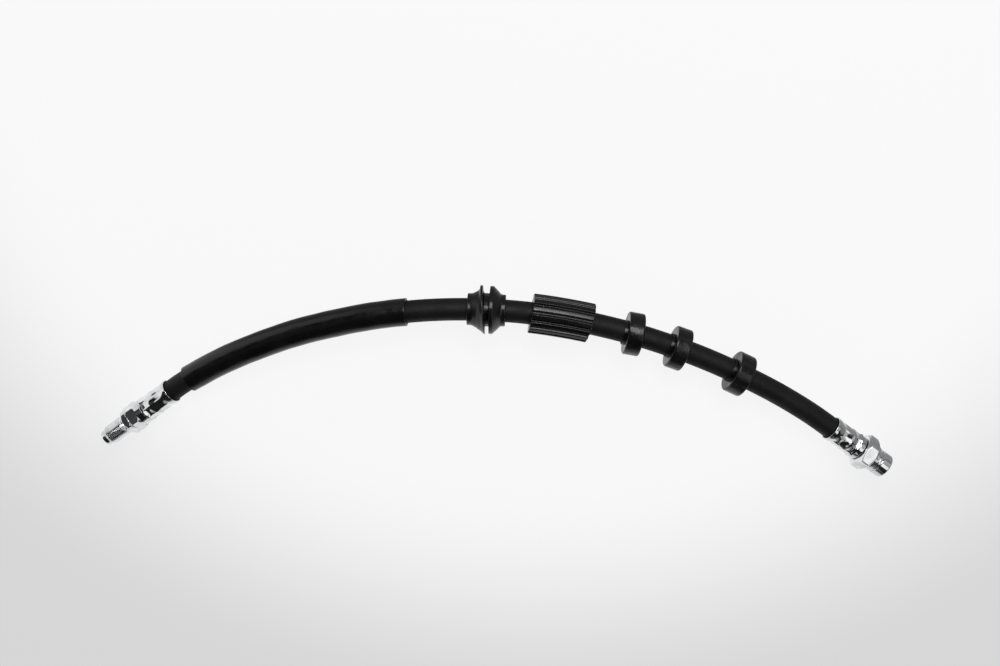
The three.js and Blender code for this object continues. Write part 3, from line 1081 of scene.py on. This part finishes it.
def makeGrommet():
    g = grommet
    half, hub = g["half"], g["hub"]
    profile = rounded(
        [
            (-half, g["bore"], 0.15),
            (-half, hub, 0.45),
            (-half + g["hubLength"], hub, 0.8),
            *g["frontCone"],
            (g["frontRim"], g["frontLip"], 0.3),
            (g["front"], g["frontLip"] - 0.2, 0.25),
            (g["front"], g["core"], 0.35),
            (g["rear"], g["core"], 0.35),
            (g["rear"], g["rearLip"], 0.25),
            (g["rearRim"], g["rearLip"], 0.3),
            *g["rearCone"],
            (half - g["hubLength"], hub, 0.8),
            (half, hub, 0.45),
            (half, g["bore"], 0.15),
        ],
        5,
    )
    profile = dense(profile, g["step"])
    a, r = profile.T
    columns = g["columns"]
    turn = angles(columns)[None]
    radii = np.repeat(r[:, None], columns, 1)
    inset = g["coreInset"]
    between = (a > g["front"] + inset) & (a < g["rear"] - inset)
    inGroove = between & (r < g["core"] + inset) & (r > (g["bore"] + g["core"]) / 2)
    core = polygonRadius(columns, g["coreSides"], g["core"] * g["coreTrim"], 0.02)
    radii[inGroove] = np.minimum(radii[inGroove], core[None])
    lean = math.tan(math.radians(g["lean"]))
    nearFront = bell(a, g["frontRim"], g["leanReach"]) * ease((r - g["core"]) / g["leanRise"])
    shift = -lean * radii * np.cos(turn - math.radians(g["leanTo"])) * nearFront[:, None]
    point, direction = onHose(g["station"] * mm)
    points = point + direction * (a[:, None] * mm)
    directions = np.repeat(direction, len(a), 0)
    rows = ringRows(points, directions, radii * mm, columns)
    rows += shift[..., None] * mm * direction[None]
    obj = gridMesh("grommet_moulding", rows, a * mm, mouldedRubber, 45)
    return finishPiece(obj, "grommet")


bracketGrommet = makeGrommet()
print("grommet made")


# ribbed sleeve

ribbed = {
    "start": grommet["station"] + grommet["half"] + 12.4,
    "length": 29.1,
    "top": 9.7,
    "ribHeight": 0.9,
    "ribs": 15,
    "topShare": 0.42,
    "rootShare": 0.88,
    "bore": 5.8,
    "turn": -9.2,
    "edge": 0.35,
    "lean": 3.6,  # degrees that both ends lean
    "columns": 720,
}


def ribHeights(columns):
    # 1 on the flat tops of the ribs and 0 in the valleys, with soft corners
    r = ribbed
    pitch = 2 * math.pi / r["ribs"]
    turn = angles(columns) + math.radians(r["turn"])
    share = np.abs(((turn / pitch) + 0.5) % 1 - 0.5)
    slope = (r["rootShare"] / 2 - share) / (r["rootShare"] / 2 - r["topShare"] / 2)
    return ease(slope)


def makeRibbedSleeve():
    r = ribbed
    start, end = r["start"], r["start"] + r["length"]
    profile = rounded(
        [
            (start, r["bore"], 0.2),
            (start, r["top"], r["edge"]),
            (end, r["top"], r["edge"]),
            (end, r["bore"], 0.2),
        ],
        5,
    )
    profile = dense(profile, coarseStep)
    a, radius = profile.T
    height = ribHeights(r["columns"])
    limit = r["top"] - r["ribHeight"] * (1 - height)
    edgeDrop = r["top"] - radius
    radii = np.where(
        radius[:, None] > r["top"] - r["edge"] - 0.01,
        limit[None] - edgeDrop[:, None],
        np.minimum(radius[:, None], limit[None] - r["edge"]),
    )
    points, directions = onHose(a * mm)
    rows = ringRows(points, directions, radii * mm, r["columns"])
    shift = -math.tan(math.radians(r["lean"])) * radii * np.sin(angles(r["columns"]))
    rows += shift[..., None] * mm * directions[:, None]
    obj = gridMesh("ribbed_sleeve_moulding", rows, a * mm, sleeveRubber, 45)
    return finishPiece(obj, "ribbed_sleeve")


ribbedSleeve = makeRibbedSleeve()
print("ribbed sleeve made")


# stop rings

rings = {
    "gaps": [16.7, 14.1, 23.9],
    "lengths": [7.8, 7.8, 8.2],
    "outer": 10.5,
    "bore": 5.8,
    "edge": 0.9,
    "neck": 6.05,
    "neckFlare": 0.1,
    "lean": [6, 0, 0],  # degrees that each ring stands askew on the hose
    "neckLength": 1.3,
    "uneven": 0.05,
    "ripples": (3, 7),  # round the ring
    "rippleAlong": 0.8,
    "step": 0.3,
    "columns": 144,
}


def ringStation(index):
    # each ring stands a gap and its neck behind the piece before it
    before = ribbed["start"] + ribbed["length"] + sum(rings["lengths"][:index])
    gaps = sum(rings["gaps"][: index + 1]) + rings["neckLength"] * (index + 1)
    return before + gaps + rings["lengths"][index] / 2


def makeRing(index):
    half = rings["lengths"][index] / 2
    outer = rings["outer"]
    profile = rounded(
        [
            (-half - rings["neckLength"], rings["bore"], 0.15),
            (-half - rings["neckLength"], rings["neck"], 0),
            (-half, rings["neck"] + rings["neckFlare"], 0),
            (-half, outer, rings["edge"]),
            (half, outer, rings["edge"]),
            (half, rings["bore"], 0.2),
        ],
        6,
    )
    profile = dense(profile, rings["step"])
    a, r = profile.T
    columns = rings["columns"]
    turn = angles(columns)[None]
    broad, fine = rings["ripples"]
    twist = a[:, None] * rings["rippleAlong"]
    ripple = np.sin(turn * broad + index) * 0.5 + np.sin(turn * fine + twist + index * 2) * 0.5
    onRing = r[:, None] > rings["neck"] + 1
    radii = r[:, None] - rings["uneven"] * (0.5 + 0.5 * ripple) * onRing
    point, direction = onHose(ringStation(index) * mm)
    skew = Matrix.Rotation(math.radians(rings["lean"][index]), 3, "Z")
    direction = direction @ np.array(skew).T
    points = point + direction * (a[:, None] * mm)
    directions = np.repeat(direction, len(a), 0)
    rows = ringRows(points, directions, radii * mm, columns)
    node = "stop_ring_%d" % (index + 1)
    obj = gridMesh(node + "_moulding", rows, a * mm, mouldedRubber, 45)
    return finishPiece(obj, node)


stopRings = [makeRing(i) for i in range(3)]
print("stop rings made")

# floor, light and world

studio = {
    "floor": 3.0,  # half of its side
    "floorColor": (0.86, 0.86, 0.86, 1.0),
    "paper": (1.01, 0.72),  # painted pool of light on the paper: its light round its middle and beyond its reach
    "paintedPoolMiddle": (0.015, 0.185, 0.0),
    "paintedPoolReach": (0.25, 0.405),
    "backdrop": 0.655,  # what the camera sees past the floor
    "shadow": 0.13,  # share of the floor's own shading that the camera sees
    "bow": ((0.0, -0.248), 0.285),  # centre and radius of the hose's bow on the floor
    "bowEdge": (-0.002, 0.016),  # where the painted shade on the floor outside the bow begins and is darkest
    "paintedReflectionShade": 0.27,  # painted shade: the lower light that the floor outside the bow gives to reflections
    "paintedReflectionShadeFrom": (-0.18, -0.12),  # where that painted shade begins, from the male end
}
room = {
    "dark": 0.012,
    "low": 0.20,  # light that the walls fade to
    # the wall on the left and the one at the back, each dark above its cap
    "walls": [
        {"axis": 0, "from": 0.2, "full": 0.65, "light": 0.85, "cap": (0.40, 0.52)},
        {"axis": 1, "from": 0.2, "full": 0.6, "light": 0.85, "cap": (0.15, 0.38)},
    ],
    # direction, edge, core and light of the openings in the dark part
    "windows": [
        ((0.52, -0.05, 0.85), 0.965, 0.98, 1.0),
        ((0.45, 0.26, 0.85), 0.965, 0.985, 1.1),
        ((0.79, 0.30, 0.53), 0.95, 0.98, 0.45),
        ((0.58, 0.80, -0.04), 0.92, 0.97, 0.55),
        ((-0.51, 0.20, 0.82), 0.93, 0.98, 0.07),
    ],
}
lamps = [
    {
        "name": "keyBox",
        "place": (0.17, 0.93, 0.92),
        "aim": (0, 0.01, 0.01),
        "size": (0.8, 0.62),
        "power": 8.4,
    },
    {
        "name": "keyCore",
        "place": (0.19, 0.97, 0.82),
        "aim": (0, 0.01, 0.01),
        "size": (0.1, 0.1),
        "power": 0.9,
    },
    {
        "name": "lowBox",
        "place": (0.165, -0.235, 0.238),
        "aim": (0.18, -0.035, 0.013),
        "size": (0.08, 0.09),
        "power": 0.012,
    },
]


def distanceFrom(tree, place, middle):
    node = addNode(tree, "ShaderNodeVectorMath", operation="DISTANCE")
    tree.links.new(place, node.inputs[0])
    node.inputs[1].default_value = middle
    return node.outputs["Value"]


def makeFloor():
    # white paper whose own light is a painted pool of light, which the camera sees; reflections see it
    # darker outside the bow, as painted shade
    size = studio["floor"]
    mesh = bpy.data.meshes.new("floor")
    corners = [(-size, -size, 0), (size, -size, 0), (size, size, 0), (-size, size, 0)]
    mesh.from_pydata(corners, [], [(0, 1, 2, 3)])
    obj = bpy.data.objects.new("floor", mesh)
    bpy.context.scene.collection.objects.link(obj)
    material = bpy.data.materials.new("floorPaperWithPaintedLight")
    material.use_nodes = True
    tree = material.node_tree
    shader = tree.nodes["Principled BSDF"]
    shader.inputs["Base Color"].default_value = studio["floorColor"]
    shader.inputs["Roughness"].default_value = 1.0
    shader.inputs["Specular IOR Level"].default_value = 0.0
    rays = addNode(tree, "ShaderNodeLightPath")
    place = addNode(tree, "ShaderNodeTexCoord").outputs["Object"]
    split = addNode(tree, "ShaderNodeSeparateXYZ")
    tree.links.new(place, split.inputs[0])
    # painted shade for reflections: outside the hose's bow, glossy rays see the floor's light darker
    (bowX, bowY), radius = studio["bow"]
    fromBow = distanceFrom(tree, place, (bowX, bowY, 0))
    outside = spread(tree, fromBow, *(radius + edge for edge in studio["bowEdge"]))
    right = spread(tree, split.outputs[0], *studio["paintedReflectionShadeFrom"])
    paintedReflectionShade = mathNode(tree, "MULTIPLY", outside, right)
    paintedReflectionShade = mathNode(tree, "MULTIPLY", paintedReflectionShade, rays.outputs["Is Glossy Ray"])
    # painted pool of light: the paper's own light falls off from its middle
    fromMiddle = distanceFrom(tree, place, studio["paintedPoolMiddle"])
    paintedPool = spread(tree, fromMiddle, *studio["paintedPoolReach"], *studio["paper"])
    light = spread(tree, paintedReflectionShade, 0.0, 1.0, paintedPool, studio["paintedReflectionShade"])
    paper = addNode(tree, "ShaderNodeEmission")
    tree.links.new(light, paper.inputs["Color"])
    seen = mathNode(tree, "MAXIMUM", rays.outputs["Is Camera Ray"], rays.outputs["Is Glossy Ray"])
    seen = mathNode(tree, "MAXIMUM", seen, rays.outputs["Is Transmission Ray"])
    share = mathNode(tree, "MULTIPLY", seen, 1 - studio["shadow"])
    share = mathNode(tree, "MAXIMUM", share, paintedReflectionShade)
    mix = addNode(tree, "ShaderNodeMixShader")
    tree.links.new(share, mix.inputs[0])
    tree.links.new(shader.outputs[0], mix.inputs[1])
    tree.links.new(paper.outputs[0], mix.inputs[2])
    tree.links.new(mix.outputs[0], tree.nodes["Material Output"].inputs["Surface"])
    mesh.materials.append(material)


def makeWorld():
    # a dark room with two pale walls and some openings; the camera sees a plain backdrop instead
    world = bpy.data.worlds.new("studio")
    bpy.context.scene.world = world
    world.use_nodes = True
    tree = world.node_tree
    output = tree.nodes["World Output"]
    walls = tree.nodes["Background"]
    way = addNode(tree, "ShaderNodeTexCoord").outputs["Generated"]
    split = addNode(tree, "ShaderNodeSeparateXYZ")
    tree.links.new(way, split.inputs[0])
    light = room["dark"]
    for wall in room["walls"]:
        away = mathNode(tree, "MULTIPLY", split.outputs[wall["axis"]], -1.0)
        pale = spread(tree, away, wall["from"], wall["full"], room["low"], wall["light"])
        under = spread(tree, split.outputs[2], *wall["cap"], 1.0, 0.0)
        light = mathNode(tree, "MAXIMUM", light, mathNode(tree, "MULTIPLY", pale, under))
    for direction, edge, core, strength in room["windows"]:
        toWindow = addNode(tree, "ShaderNodeVectorMath", operation="DOT_PRODUCT")
        tree.links.new(way, toWindow.inputs[0])
        toWindow.inputs[1].default_value = tuple(Vector(direction).normalized())
        window = spread(tree, toWindow.outputs["Value"], edge, core, 0.0, strength)
        light = mathNode(tree, "MAXIMUM", light, window)
    tree.links.new(light, walls.inputs["Color"])
    paper = addNode(tree, "ShaderNodeBackground")
    paper.inputs["Color"].default_value = gray(studio["backdrop"])
    rays = addNode(tree, "ShaderNodeLightPath")
    mix = addNode(tree, "ShaderNodeMixShader")
    tree.links.new(rays.outputs["Is Camera Ray"], mix.inputs[0])
    tree.links.new(walls.outputs[0], mix.inputs[1])
    tree.links.new(paper.outputs[0], mix.inputs[2])
    tree.links.new(mix.outputs[0], output.inputs["Surface"])


def makeLamp(lamp):
    data = bpy.data.lights.new(lamp["name"], "AREA")
    data.shape = "RECTANGLE"
    data.size, data.size_y = lamp["size"]
    data.energy = lamp["power"]
    obj = bpy.data.objects.new(lamp["name"], data)
    bpy.context.scene.collection.objects.link(obj)
    obj.visible_camera = False
    place = Vector(lamp["place"])
    turn = (place - Vector(lamp["aim"])).to_track_quat("Z", "Y").to_matrix().to_4x4()
    obj.matrix_world = Matrix.Translation(place) @ turn


makeFloor()
makeWorld()
for lamp in lamps:
    makeLamp(lamp)
bpy.context.scene.view_settings.view_transform = "Standard"
print("studio made")
